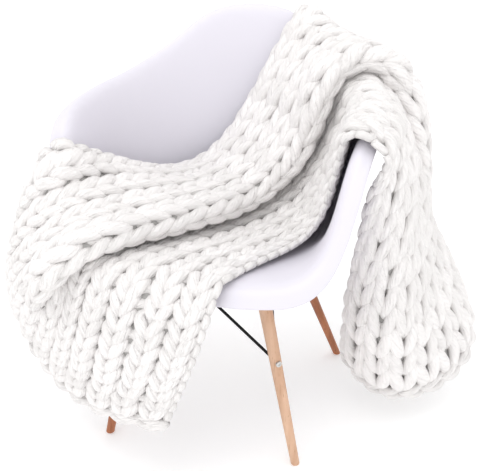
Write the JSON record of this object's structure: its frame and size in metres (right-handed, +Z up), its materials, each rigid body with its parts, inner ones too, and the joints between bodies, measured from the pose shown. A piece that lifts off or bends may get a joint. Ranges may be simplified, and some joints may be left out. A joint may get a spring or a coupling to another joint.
{
  "type": "chunky knit blanket draped over a shell chair",
  "caption": "Thick hand-knit throw blanket draped and folded over one arm and the front of a plain moulded shell chair on wooden dowel legs.",
  "frame": {"origin": "middle of the bottom of the whole object's bounding box, on the floor the chair's feet stand on", "axes": "+Z up, the chair faces -Y, +X towards the chair's left arm"},
  "size_m": [0.9988, 0.7216, 0.8368],
  "materials": {
    "yarn": "off-white chunky knit of thick soft unspun yarn",
    "moulding": "white moulded plastic, satin",
    "beech": "clear-oiled beech",
    "black_steel": "black powder coat",
    "zinc": "zinc-plated bolt cap",
    "rubber": "black rubber"
  },
  "bodies": {
    "root": {"shell": "moulding", "seat_frame": "black_steel", "leg_front_left": "beech", "cap_front_left": "zinc", "mount_front_left": "rubber", "rod_front_left_to_rear_left": "black_steel", "rod_rear_left_to_front_left": "black_steel", "leg_rear_left": "beech", "cap_rear_left": "zinc", "mount_rear_left": "rubber", "rod_rear_left_to_rear_right": "black_steel", "rod_rear_right_to_rear_left": "black_steel", "leg_rear_right": "beech", "cap_rear_right": "zinc", "mount_rear_right": "rubber", "rod_rear_right_to_front_right": "black_steel", "rod_front_right_to_rear_right": "black_steel", "leg_front_right": "beech", "cap_front_right": "zinc", "mount_front_right": "rubber", "rod_front_right_to_front_left": "black_steel", "rod_front_left_to_front_right": "black_steel", "blanket": "yarn"}
  },
  "joints": []
}
